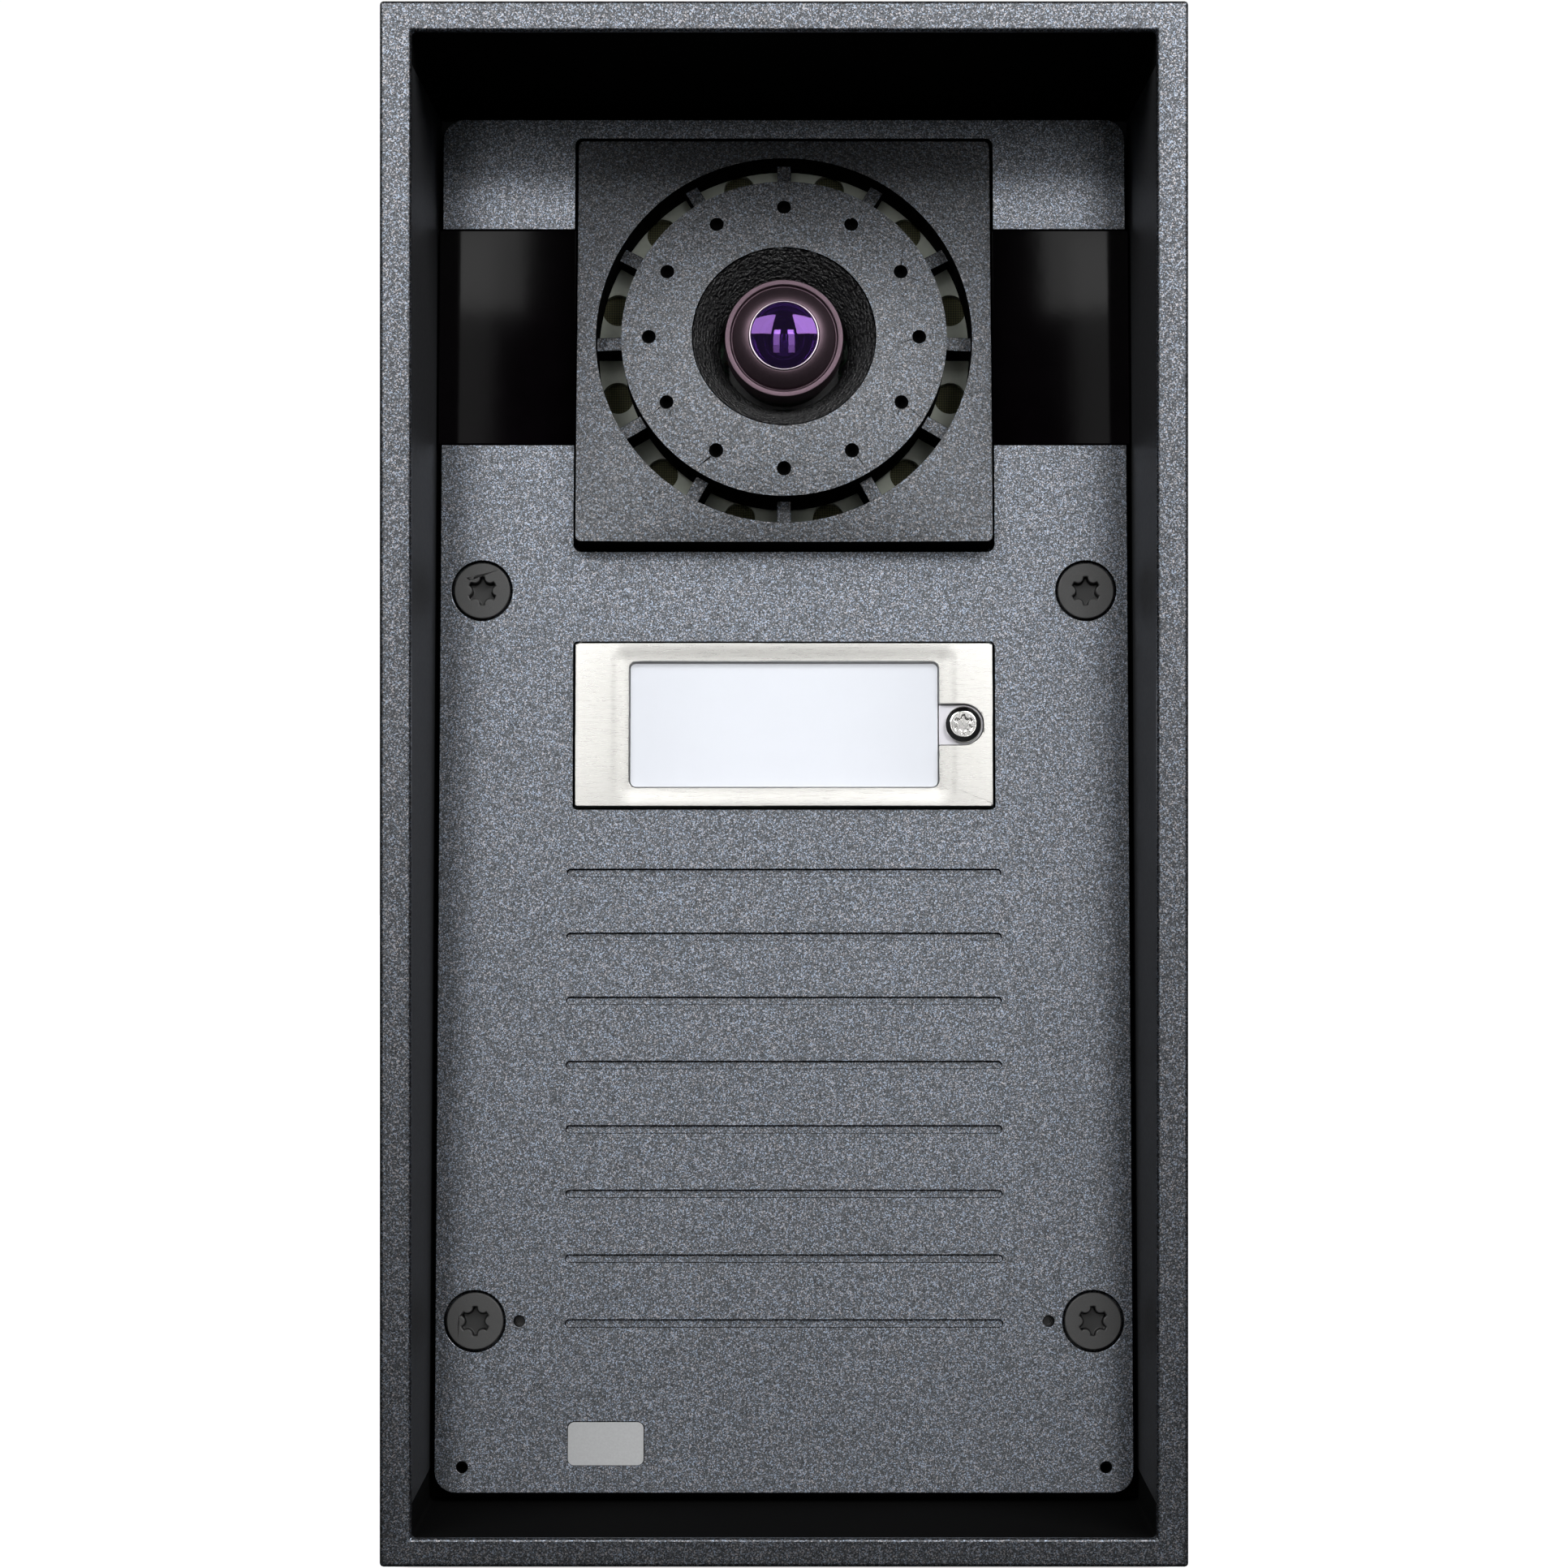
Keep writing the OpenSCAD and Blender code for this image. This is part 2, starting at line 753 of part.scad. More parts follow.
module window_2d(grow = 0) {
    translate(btn) {
        round_rect(window_w + 2 * grow, window_h + 2 * grow, 1);
        translate(label_screw) circle(notch_h / 2 + grow);
        translate([window_w / 2 - 1, -notch_h / 2 - grow])
            square([label_screw.x - window_w / 2 + 1, notch_h + 2 * grow]);
    }
}

module button_bezel() {
    color([0.78, 0.76, 0.73]) on_panel() plate(bezel_back, bezel_proud) difference() {
        translate(btn) round_rect(bezel_w, bezel_h, 0.4);
        window_2d();
    }
}

module button_carrier() {
    outer = [bezel_w - 2 * carrier_in, bezel_h - 2 * carrier_in];
    color([0.1, 0.1, 0.1]) on_panel() difference() {
        union() {
            plate(carrier_back, bezel_back) difference() {
                translate(btn) round_rect(outer.x, outer.y, 0.4);
                translate(btn) square([window_w + 0.5, window_h + 0.4], center = true);
            }
            plate(-6.5, -panel_t - 0.7) difference() {
                translate(btn) square([2 * flange_x, 2 * flange_v], center = true);
                translate(btn) square([outer.x - 2, 3 * flange_v], center = true);
            }
            plate(-6, -4) translate(btn) square([5, outer.y - 1], center = true);
            bar(btn, actuator_tip, -5, 1.6, 2.4);
        }
        bar([btn.x + label_screw.x, btn.y], -6, eps, 1.3, 1.3);
    }
}

module light_guide() {
    color([0.9, 0.93, 0.95, 0.7]) on_panel() plate(-3, -0.05) translate(btn)
        round_rect(window_w - 0.3, window_h - 0.4, 0.8);
}

module name_label() {
    color([0.9, 0.92, 0.96]) on_panel() plate(-0.05, 0.25) translate(btn)
        round_rect(window_w - 0.3, window_h - 0.4, 0.8);
}

module label_cover() {
    hole = [btn.x + label_screw.x, btn.y];
    color([0.95, 0.97, 1, 0.4]) on_panel() difference() {
        union() {
            plate(0.3, 1.1) translate(btn) round_rect(window_w - 0.16, window_h - 0.16, 0.95);
            plate(0.3, 0.7) window_2d(-0.08);
        }
        bar(hole, 0, 2, 1.4, 1.4);
    }
}

module label_screw() {
    at = [btn.x + label_screw.x, btn.y];
    color("silver") on_panel() difference() {
        union() {
            bar(at, 0.7, 1.5, 2.6, 2.6);
            bar(at, 1.5, 2, 2.6, 1.9);
            bar(at, -5.5, 0.71, 1.25, 1.25);
        }
        plate(1.1, 3) translate(at) rotate(30) star_2d(2.7);
    }
}

module button_seal() {
    color([0.1, 0.1, 0.12]) on_panel() plate(-panel_t - 0.4, -panel_t) translate(btn) difference() {
        round_rect(62.6, 27, 1.5);
        round_rect(bezel_w - 2 * carrier_in, bezel_h - 2 * carrier_in, 0.4);
    }
}

module return_domes() {
    color([0.75, 0.75, 0.75]) on_panel() for (x = [-26, 26]) turned([x, btn.y]) polygon([
        [3.2, main_front], [4.2, main_front], [4.2, main_front + 0.6], [3.6, main_front + 1],
        [2.4, -9.5], [2, carrier_back - 0.02], [0, carrier_back - 0.02], [0, -9.4], [1.4, -9.6]
    ]);
}

module call_switch() {
    color([0.12, 0.12, 0.12]) on_panel() difference() {
        plate(main_front, -10.2) translate(btn) square(6, center = true);
        bar(btn, -13.3, -10, 1.81, 1.81);
    }
}

module call_plunger() {
    color([0.85, 0.3, 0.2]) on_panel() bar(btn, -12, -9, 1.75, 1.75);
}

module backlight_leds() {
    color([0.95, 0.93, 0.8]) on_panel() plate(main_front, main_front + 0.8)
        for (x = [-15, -8, 8, 15], v = [-4, 4]) translate([x, btn.y + v]) square([3, 1.6], center = true);
}

// ---- Main board ----

module main_board() {
    color([0.05, 0.3, 0.12]) on_panel() plate(main_back, main_front) difference() {
        box_2d([-main_x, main_x], [main_low, main_high]);
        for (p = main_screws) translate(p) circle(1.3);
    }
}

module board_screws() {
    color("silver") on_panel() for (p = main_screws) pan_screw(p, main_back, 2.2, 1.6, 1.2, 6);
}

// A block on the rear of the main board
module on_board(x, v, height) {
    plate(main_back - height, main_back) box_2d(x, v);
}

module processor() {
    color([0.1, 0.1, 0.1]) on_panel() on_board([-8, 8], [-28, -12], 1.4);
}

module heat_pad() {
    color([0.5, 0.6, 0.75]) on_panel() plate(main_back - 3.4, main_back - 1.4) box_2d([-7.5, 7.5], [-27.5, -12.5]);
}

module network_jack() {
    mouth_x = [jack_x[0] + 2, jack_x[1] - 2];
    mouth_v = [jack_v[0] - eps, jack_v[0] + 14];
    color("silver") on_panel() difference() {
        on_board(jack_x, jack_v, jack_h);
        plate(main_back - jack_h + 2, main_back - 3) box_2d(mouth_x, mouth_v);
    }
}

module terminal_block() {
    ways = 7;
    pitch = 5.08;
    left = -8;
    color([0.1, 0.45, 0.2]) on_panel() difference() {
        on_board([left, left + ways * pitch + 1], terminal_v, terminal_h);
        for (i = [0:ways - 1]) {
            x = left + 0.5 + (i + 0.5) * pitch;
            plate(main_back - 9, main_back - 5) box_2d([x - 1.6, x + 1.6], [terminal_v[0] - eps, -79]);
            bar([x, -78], main_back - terminal_h - eps, main_back - 8, 1.7, 1.7);
        }
    }
}

module relay() {
    color([0.15, 0.25, 0.5]) on_panel() on_board([10, 29], [-60, -45], 12);
}

module capacitors() {
    color([0.2, 0.22, 0.3]) on_panel() for (p = [[-28, -16], [-28, -27], [-18, -38]])
        bar(p, main_back - 11, main_back, 4, 4);
}

module cell_holder() {
    color([0.1, 0.1, 0.1]) on_panel() difference() {
        bar(cell_at, main_back - 4, main_back, 11.5, 11.5);
        bar(cell_at, main_back - 4 - eps, main_back - 0.8, 10.05, 10.05);
    }
}

module coin_cell() {
    color("silver") on_panel() bar(cell_at, main_back - 4, main_back - 0.8, 10, 10);
}

module tamper_switch() {
    body_back = main_back - 8;
    color([0.1, 0.1, 0.1]) on_panel() difference() {
        plate(body_back, main_back) translate(tamper_at) square(8, center = true);
        bar(tamper_at, body_back - eps, main_back - 2, 1.56, 1.56);
    }
}

module tamper_plunger() {
    color([0.9, 0.85, 0.7]) on_panel() bar(tamper_at, tamper_rest, main_back - 4, 1.5, 1.5);
}

cast_body();
front_panel();
panel_gasket();
panel_screws();
cable_grommets();
vent_plug();
ir_window_left();
ir_window_right();
ir_board_left();
ir_board_right();
ir_leds();
camera_housing();
camera_housing_gasket();
camera_housing_screws();
lens_shroud();
lens_barrel();
lens_ring();
front_lens();
inner_lens();
lens_spacer();
lens_holder();
image_sensor();
camera_board();
camera_board_screws();
camera_ribbon();
speaker_baffle();
acoustic_membrane();
speaker_bracket();
speaker_basket();
speaker_magnet();
speaker_cone();
voice_coil();
speaker_surround();
speaker_lead();
button_bezel();
button_carrier();
light_guide();
name_label();
label_cover();
label_screw();
button_seal();
return_domes();
call_switch();
call_plunger();
backlight_leds();
main_board();
board_screws();
processor();
heat_pad();
network_jack();
terminal_block();
relay();
capacitors();
cell_holder();
coin_cell();
tamper_switch();
tamper_plunger();
microphones();
microphone_boots();
badge();
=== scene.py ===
"""Looks of a door intercom panel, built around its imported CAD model. Metres, in the CAD frame."""

import json
import math

import bmesh
import bpy
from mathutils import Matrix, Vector


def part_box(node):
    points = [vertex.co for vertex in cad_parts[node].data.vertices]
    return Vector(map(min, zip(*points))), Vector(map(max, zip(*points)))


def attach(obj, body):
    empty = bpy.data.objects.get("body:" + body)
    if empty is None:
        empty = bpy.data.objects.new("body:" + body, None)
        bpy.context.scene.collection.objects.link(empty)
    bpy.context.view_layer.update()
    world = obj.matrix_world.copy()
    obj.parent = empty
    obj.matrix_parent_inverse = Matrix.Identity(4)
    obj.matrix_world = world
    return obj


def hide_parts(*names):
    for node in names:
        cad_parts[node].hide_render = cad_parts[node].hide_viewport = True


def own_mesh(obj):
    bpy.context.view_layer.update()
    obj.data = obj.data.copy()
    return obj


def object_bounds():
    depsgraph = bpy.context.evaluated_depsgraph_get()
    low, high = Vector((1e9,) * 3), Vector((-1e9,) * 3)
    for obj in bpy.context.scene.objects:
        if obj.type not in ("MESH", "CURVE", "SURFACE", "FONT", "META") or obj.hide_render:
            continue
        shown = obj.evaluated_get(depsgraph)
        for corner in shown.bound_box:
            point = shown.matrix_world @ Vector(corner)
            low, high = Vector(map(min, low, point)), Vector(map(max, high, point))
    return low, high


MM = 0.001
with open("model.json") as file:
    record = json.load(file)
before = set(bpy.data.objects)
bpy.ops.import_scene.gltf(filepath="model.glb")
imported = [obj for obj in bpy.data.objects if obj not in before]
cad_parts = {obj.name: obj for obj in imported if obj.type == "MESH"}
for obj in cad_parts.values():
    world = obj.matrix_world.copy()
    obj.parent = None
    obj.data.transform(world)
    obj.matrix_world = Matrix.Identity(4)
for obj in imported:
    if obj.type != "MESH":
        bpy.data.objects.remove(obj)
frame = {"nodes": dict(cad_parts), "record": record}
cad_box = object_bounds()
nodes = frame["nodes"]
behaviour = frame["record"]["behaviour"]


def joint_named(name):
    return next(j for j in behaviour["joints"] if j["name"] == name)


# The panel's own directions: out of its face, across it and up it. The tamper plunger slides straight out.
OUT = Vector(joint_named("tamper_plunger_slide")["axis"]).normalized()
ACROSS = Vector((1, 0, 0))
UP = OUT.cross(ACROSS).normalized()
if UP.z < 0:
    UP = -UP


def middle(node):
    low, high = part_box(node)
    return (low + high) / 2


# Places on the panel: millimetres across, up and out of its face, from the middle of the camera
RING_HEIGHT = 6.725
CAMERA_SPOT = middle("lens_ring") - OUT * RING_HEIGHT * MM


def spot(across, up, out):
    return CAMERA_SPOT + (ACROSS * across + UP * up + OUT * out) * MM


def place_of(point):
    away = (point - CAMERA_SPOT) / MM
    return away.dot(ACROSS), away.dot(UP), away.dot(OUT)


# The camera block's face: half its width, its height above the panel, its lean and its crown
BLOCK = 29.7
BLOCK_FACE = 3.9
FACE_LEAN = math.tan(math.radians(6.85))
CROWN = 3.3
CROWN_BALL = (BLOCK ** 2 + CROWN ** 2) / (2 * CROWN)

# The disc on it, and how far below the face the painted shade in its dimples starts
DISC_RADIUS = 22.5
DIMPLE_SHADE_START = 1


# ---- Camera, lights and floor ----

RIM_Y = cad_box[0].y
VIEW_DISTANCE = 0.6
VIEW_WIDTH = 0.2112
SENSOR_WIDTH = 36


def make_camera():
    data = bpy.data.cameras.new("camera")
    data.sensor_width = SENSOR_WIDTH
    data.lens = SENSOR_WIDTH * VIEW_DISTANCE / VIEW_WIDTH
    data.clip_start = 0.01
    data.clip_end = 20
    camera = bpy.data.objects.new("camera", data)
    camera.location = (0, RIM_Y - VIEW_DISTANCE, 0)
    camera.rotation_euler = (math.pi / 2, 0, 0)
    bpy.context.scene.collection.objects.link(camera)
    bpy.context.scene.camera = camera


# Name, place, the place it is aimed at, width and height, and power in watts. The strips, brows and lows are what
# the leaning faces mirror towards the camera; a dark gap is left between left and right for the smoked windows.
LAMPS = [
    ("key_left", (-0.7, -1.15, 0.82), (0, 0, 0.06), (0.8, 0.7), 13),
    ("key_right", (0.7, -1.15, 0.82), (0, 0, 0.06), (0.8, 0.7), 17),
    ("strip_left", (-0.24, -1.45, 0.32), (0, 0, 0.05), (0.2, 0.4), 1.15),
    ("strip_right", (0.24, -1.45, 0.32), (0, 0, 0.05), (0.2, 0.4), 1.2),
    ("brow_left", (-0.22, -1.45, 0.56), (0, 0, 0.08), (0.2, 0.14), 1.15),
    ("brow_right", (0.22, -1.45, 0.56), (0, 0, 0.08), (0.2, 0.14), 1.15),
    ("low_left", (-0.24, -1.45, 0.0), (0, 0, 0), (0.2, 0.24), 0.36),
    ("low_right", (0.24, -1.45, 0.0), (0, 0, 0), (0.2, 0.24), 0.46),
    ("back_left", (-1.0, 0.9, 0.7), (0, 0, 0), (0.9, 0.9), 5),
    ("back_right", (1.1, 0.8, 0.5), (0, 0, 0), (0.9, 0.9), 4),
]


def soft_light(name, place, target, size, power):
    data = bpy.data.lights.new(name, "AREA")
    data.shape = "RECTANGLE"
    data.size, data.size_y = size
    data.energy = power
    light = bpy.data.objects.new(name, data)
    light.location = place
    light.rotation_euler = (Vector(target) - Vector(place)).to_track_quat("-Z", "Y").to_euler()
    light.visible_camera = False
    bpy.context.scene.collection.objects.link(light)


def make_world():
    """White for the camera, and nearly no light of its own on the object."""
    world = bpy.data.worlds.new("studio")
    world.use_nodes = True
    bpy.context.scene.world = world
    tree = world.node_tree
    output = tree.nodes["World Output"]
    dim = tree.nodes["Background"]
    dim.inputs["Color"].default_value = (0.9, 0.95, 1, 1)
    dim.inputs["Strength"].default_value = 0.02
    white = tree.nodes.new("ShaderNodeBackground")
    white.inputs["Color"].default_value = (1, 1, 1, 1)
    white.inputs["Strength"].default_value = 1.05
    path = tree.nodes.new("ShaderNodeLightPath")
    mix = tree.nodes.new("ShaderNodeMixShader")
    tree.links.new(path.outputs["Is Camera Ray"], mix.inputs[0])
    tree.links.new(dim.outputs[0], mix.inputs[1])
    tree.links.new(white.outputs[0], mix.inputs[2])
    tree.links.new(mix.outputs[0], output.inputs["Surface"])


def make_floor(material):
    """A floor that only the camera sees."""
    mesh = bpy.data.meshes.new("floor")
    form = bmesh.new()
    bmesh.ops.create_grid(form, x_segments=4, y_segments=4, size=3)
    form.to_mesh(mesh)
    form.free()
    floor = bpy.data.objects.new("floor", mesh)
    floor.location = (0, 0, cad_box[0].z)
    floor.visible_diffuse = False
    floor.visible_glossy = False
    mesh.materials.append(material)
    bpy.context.scene.collection.objects.link(floor)


# ---- Materials ----


class Painter:
    """Builds one material's nodes on the object's own coordinates, in metres."""

    def __init__(self, name, **sockets):
        self.material = bpy.data.materials.new(name)
        self.material.use_nodes = True
        self.tree = self.material.node_tree
        self.shader = self.tree.nodes["Principled BSDF"]
        for socket, value in sockets.items():
            self.shader.inputs[socket.replace("_", " ")].default_value = value
        coordinates = self.add("ShaderNodeTexCoord")
        self.place = coordinates.outputs["Object"]
        self.facing = coordinates.outputs["Normal"]

    def add(self, kind, **settings):
        made = self.tree.nodes.new(kind)
        for key, value in settings.items():
            setattr(made, key, value)
        return made

    def join(self, source, target):
        self.tree.links.new(source, target)

    def stretched(self, scale):
        mapping = self.add("ShaderNodeMapping")
        mapping.inputs["Scale"].default_value = scale
        self.join(self.place, mapping.inputs["Vector"])
        return mapping.outputs["Vector"]

    def noise(self, size, detail=2, rough=0.5, place=None):
        made = self.add("ShaderNodeTexNoise")
        made.inputs["Scale"].default_value = 1 / size
        made.inputs["Detail"].default_value = detail
        made.inputs["Roughness"].default_value = rough
        self.join(place or self.place, made.inputs["Vector"])
        return made.outputs["Fac"]

    def cells(self, size, output, feature="F1"):
        made = self.add("ShaderNodeTexVoronoi", feature=feature)
        made.inputs["Scale"].default_value = 1 / size
        self.join(self.place, made.inputs["Vector"])
        return made.outputs[output]

    def ramp(self, value, stops):
        made = self.add("ShaderNodeValToRGB")
        steps = made.color_ramp.elements
        for i, (at, colour) in enumerate(stops):
            step = steps[i] if i < 2 else steps.new(at)
            step.position = at
            step.color = (*colour, 1)
        self.join(value, made.inputs["Fac"])
        return made.outputs["Color"]

    def span(self, value, low, high, start=0.0, end=1.0):
        """From low to high as the value goes from start to end, and no further."""
        made = self.add("ShaderNodeMapRange")
        made.inputs["From Min"].default_value = start
        made.inputs["From Max"].default_value = end
        made.inputs["To Min"].default_value = low
        made.inputs["To Max"].default_value = high
        self.join(value, made.inputs["Value"])
        return made.outputs["Result"]

    def mixed(self, share, a, b, blend="MIX"):
        made = self.add("ShaderNodeMix", data_type="RGBA", blend_type=blend)
        for value, socket in ((share, made.inputs[0]), (a, made.inputs[6]), (b, made.inputs[7])):
            if isinstance(value, (int, float)):
                socket.default_value = value
            elif isinstance(value, tuple):
                socket.default_value = (*value, 1)
            else:
                self.join(value, socket)
        return made.outputs[2]

    def math(self, kind, a, b):
        made = self.add("ShaderNodeMath", operation=kind)
        for value, socket in ((a, made.inputs[0]), (b, made.inputs[1])):
            if isinstance(value, (int, float)):
                socket.default_value = value
            else:
                self.join(value, socket)
        return made.outputs[0]

    def axes(self, source=None):
        split = self.add("ShaderNodeSeparateXYZ")
        self.join(source or self.place, split.inputs[0])
        return split.outputs

    def within(self, value, limit):
        """1 where the value is between -limit and limit."""
        return self.math("LESS_THAN", self.math("ABSOLUTE", value, 0), limit)

    def along(self, axis):
        """How far a place is along one of the panel's own directions from the camera's middle, in metres."""
        away = self.add("ShaderNodeVectorMath", operation="SUBTRACT")
        self.join(self.place, away.inputs[0])
        away.inputs[1].default_value = CAMERA_SPOT
        far = self.add("ShaderNodeVectorMath", operation="DOT_PRODUCT")
        self.join(away.outputs["Vector"], far.inputs[0])
        far.inputs[1].default_value = axis
        return far.outputs["Value"]

    def outwards(self, low, high):
        """From 0 to 1 as the surface turns to face out of the panel."""
        turned = self.add("ShaderNodeVectorMath", operation="DOT_PRODUCT")
        self.join(self.facing, turned.inputs[0])
        turned.inputs[1].default_value = OUT
        return self.span(turned.outputs["Value"], 0, 1, low, high)

    def paint(self, colour):
        self.join(colour, self.shader.inputs["Base Color"])

    def rough(self, value, low, high):
        self.join(self.span(value, low, high), self.shader.inputs["Roughness"])

    def bump(self, height, depth):
        made = self.add("ShaderNodeBump")
        made.inputs["Strength"].default_value = 1
        made.inputs["Distance"].default_value = depth
        self.join(height, made.inputs["Height"])
        self.join(made.outputs["Normal"], self.shader.inputs["Normal"])


# The recess in the housing: from its lip to its depth, half its size, and where its level walls, which get painted
# shade, begin
RECESS_LIP = RIM_Y + 0.7 * MM
RECESS_END = -30 * MM
RECESS_HALF_WIDTH = 51.5 * MM
RECESS_HALF_HEIGHT = 103 * MM
RECESS_LEVEL = 97 * MM


def recess_liner_and_shade(p):
    """1 on the walls of the recess in front of the panel, which have a smooth dark finish; and 1 on its top and
    bottom walls, which are made nearly black as painted shade under the hood and along the recess floor.
    """
    x, y, z = p.axes()
    deep = p.math("MULTIPLY", p.math("GREATER_THAN", y, RECESS_LIP), p.math("LESS_THAN", y, RECESS_END))
    inside = p.math("MULTIPLY", p.within(x, RECESS_HALF_WIDTH), p.within(z, RECESS_HALF_HEIGHT))
    walls = p.math("MULTIPLY", deep, inside)
    # painted shade: the top and bottom walls of the recess are made nearly black, darker than its side walls
    level = p.math("SUBTRACT", 1, p.within(z, RECESS_LEVEL))
    return walls, p.math("MULTIPLY", walls, level)


def shaded_side_walls(p):
    """1 on walls that don't face out of the panel, twice: painted shade that makes them smooth and nearly black, as
    in the grooves and along the edges.
    """
    sides = p.math("SUBTRACT", 1, p.outwards(0.55, 0.8))
    return sides, sides


def block_shade(p):
    """1 on the sides of the block, its slot and its spokes, and down in the dimples of its disc: painted shade,
    nearly black, under the block and in these hollows.
    """
    sides, _ = shaded_side_walls(p)
    across, up, out = (p.along(axis) for axis in (ACROSS, UP, OUT))
    radius = p.math("POWER", p.math("ADD", p.math("POWER", across, 2), p.math("POWER", up, 2)), 0.5)
    bulge = p.math("SUBTRACT", CROWN * MM, p.math("DIVIDE", p.math("POWER", radius, 2), 2 * CROWN_BALL * MM))
    deep = (BLOCK_FACE - DIMPLE_SHADE_START) * MM
    face = p.math("SUBTRACT", p.math("ADD", bulge, deep), p.math("MULTIPLY", up, FACE_LEAN))
    dimple_shade = p.math("MULTIPLY", p.math("LESS_THAN", out, face), p.math("LESS_THAN", radius, DISC_RADIUS * MM))
    both = p.math("MAXIMUM", sides, dimple_shade)
    return both, both


# SMOOTH_GREY is the recess liner's smooth dark finish and the ground under painted shade; NEARLY_BLACK is painted
# shade on the powder coats, and the real black of the microphones' port side
SMOOTH_GREY = (0.036, 0.037, 0.04)
NEARLY_BLACK = (0.003, 0.003, 0.003)

# Roughness of the powder coat, and what its smooth places and its nearly black, painted-shade places have more
COAT_ROUGH = (0.27, 0.37)
SMOOTH_ROUGH = 0.12
BLACK_ROUGH = 0.45


def powder_coat(name, dark, mid, light, grain, lumps, depth, finish_and_shade, metal, sparkle=2.4, matt=0.0):
    """Metallic powder coat: dark ground, fine grey, bluish and brownish flakes, some bright, and a slight texture.

    Where the first value of the given mask function is 1, the surface is smooth dark grey without flakes. Where its
    second value is 1 too, it is nearly black: painted shade.
    """
    p = Painter(name, Metallic=0.9, Roughness=0.4, IOR=1.1)
    ground = p.ramp(p.noise(grain * 1.5, 2, 0.7), [(0.3, dark), (0.5, mid), (0.7, light)])
    chance, tint, _ = p.axes(p.cells(grain, "Color"))
    flake = p.ramp(chance, [(0.62, (0, 0, 0)), (0.97, (1, 1, 1))])
    cool = tuple(min(1, c * sparkle * k) for c, k in zip(light, (0.86, 0.98, 1.16)))
    warm = tuple(min(1, c * sparkle * k) for c, k in zip(light, (1.08, 0.98, 0.94)))
    colour = p.mixed(flake, ground, p.ramp(tint, [(0.45, cool), (0.7, warm)]))
    texture = p.noise(lumps, 2, 0.5)
    gloss = p.span(texture, COAT_ROUGH[0] + matt, COAT_ROUGH[1] + matt)
    smooth, black = finish_and_shade(p)
    # painted shade: where the mask's second value is 1 the coat turns nearly black
    colour = p.mixed(black, p.mixed(smooth, colour, SMOOTH_GREY), NEARLY_BLACK)
    p.join(p.span(smooth, metal, 0.0), p.shader.inputs["Metallic"])
    gloss = p.math("ADD", p.math("MULTIPLY", smooth, SMOOTH_ROUGH), gloss)
    gloss = p.math("ADD", p.math("MULTIPLY", black, BLACK_ROUGH), gloss)
    p.join(gloss, p.shader.inputs["Roughness"])
    p.bump(p.math("MULTIPLY", texture, p.span(smooth, 1, 0.2)), depth)
    p.paint(colour)
    return p.material


def grained(name, colour, spread=0.12, grain=0.4 * MM, rough=(0.45, 0.6), depth=0.01 * MM, **sockets):
    """Moulded, plated or painted surface with fine variation in colour, gloss and height."""
    p = Painter(name, **sockets)
    grainy = p.noise(grain, 3)
    low = tuple(c * (1 - spread) for c in colour)
    high = tuple(min(1, c * (1 + spread)) for c in colour)
    p.paint(p.ramp(grainy, [(0.3, low), (0.7, high)]))
    p.rough(p.noise(grain * 9, 2), *rough)
    p.bump(grainy, depth)
    return p.material


def brushed(name, colour, rough=(0.2, 0.34), depth=0.003 * MM, line=0.12 * MM):
    """Metal brushed along X."""
    p = Painter(name, Metallic=1.0)
    lines = p.noise(1, 3, 0.6, p.stretched((1 / (60 * line), 1 / line, 1 / line)))
    p.paint(p.ramp(lines, [(0.3, tuple(c * 0.95 for c in colour)), (0.7, colour)]))
    p.rough(lines, *rough)
    p.bump(lines, depth)
    return p.material


def woven(name, colour, pitch):
    p = Painter(name, Roughness=0.8)
    threads = []
    for direction in ("X", "Z"):
        wave = p.add("ShaderNodeTexWave", bands_direction=direction)
        wave.inputs["Scale"].default_value = 0.314 / pitch
        p.join(p.place, wave.inputs["Vector"])
        threads.append(wave.outputs["Fac"])
    weave = p.mixed(0.5, threads[0], threads[1])
    p.paint(p.ramp(weave, [(0.2, tuple(c * 0.35 for c in colour)), (0.8, colour)]))
    p.bump(weave, pitch * 0.2)
    return p.material


def circuit_board(name):
    p = Painter(name, Roughness=0.35, Coat_Weight=0.3)
    tracks = p.cells(3.2 * MM, "Distance", feature="DISTANCE_TO_EDGE")
    track = p.ramp(tracks, [(0.03, (0.06, 0.3, 0.12)), (0.05, (0.02, 0.12, 0.05))])
    dots = p.cells(2.1 * MM, "Distance")
    p.paint(p.mixed(p.ramp(dots, [(0.12, (1, 1, 1)), (0.15, (0, 0, 0))]), track, (0.55, 0.5, 0.3)))
    p.bump(tracks, 0.01 * MM)
    return p.material


# Where the cover turns milky, across from the camera's middle
MILKY_FROM = 22.2 * MM


def milky_by_screw(name):
    """Clear cover over the name, milky where it reaches under its screw."""
    p = Painter(name, IOR=1.49)
    p.paint(p.ramp(p.noise(2 * MM, 2), [(0.3, (0.8, 0.79, 0.84)), (0.7, (0.86, 0.85, 0.9))]))
    by_screw = p.math("GREATER_THAN", p.along(ACROSS), MILKY_FROM)
    p.join(p.span(by_screw, 0.12, 0.85), p.shader.inputs["Alpha"])
    p.rough(p.noise(3 * MM), 0.05, 0.12)
    return p.material


def ported(name, colour):
    """Silver can with a black port side."""
    p = Painter(name, Roughness=0.4)
    front = p.outwards(0.8, 0.95)
    grain = p.ramp(p.noise(0.4 * MM), [(0.3, tuple(c * 0.9 for c in colour)), (0.7, colour)])
    p.paint(p.mixed(front, grain, NEARLY_BLACK))
    p.join(p.span(front, 1, 0), p.shader.inputs["Metallic"])
    return p.material


# How far below the panel's face the painted shade in the screws' drives starts
DRIVE_SHADE_START = 0.5 * MM


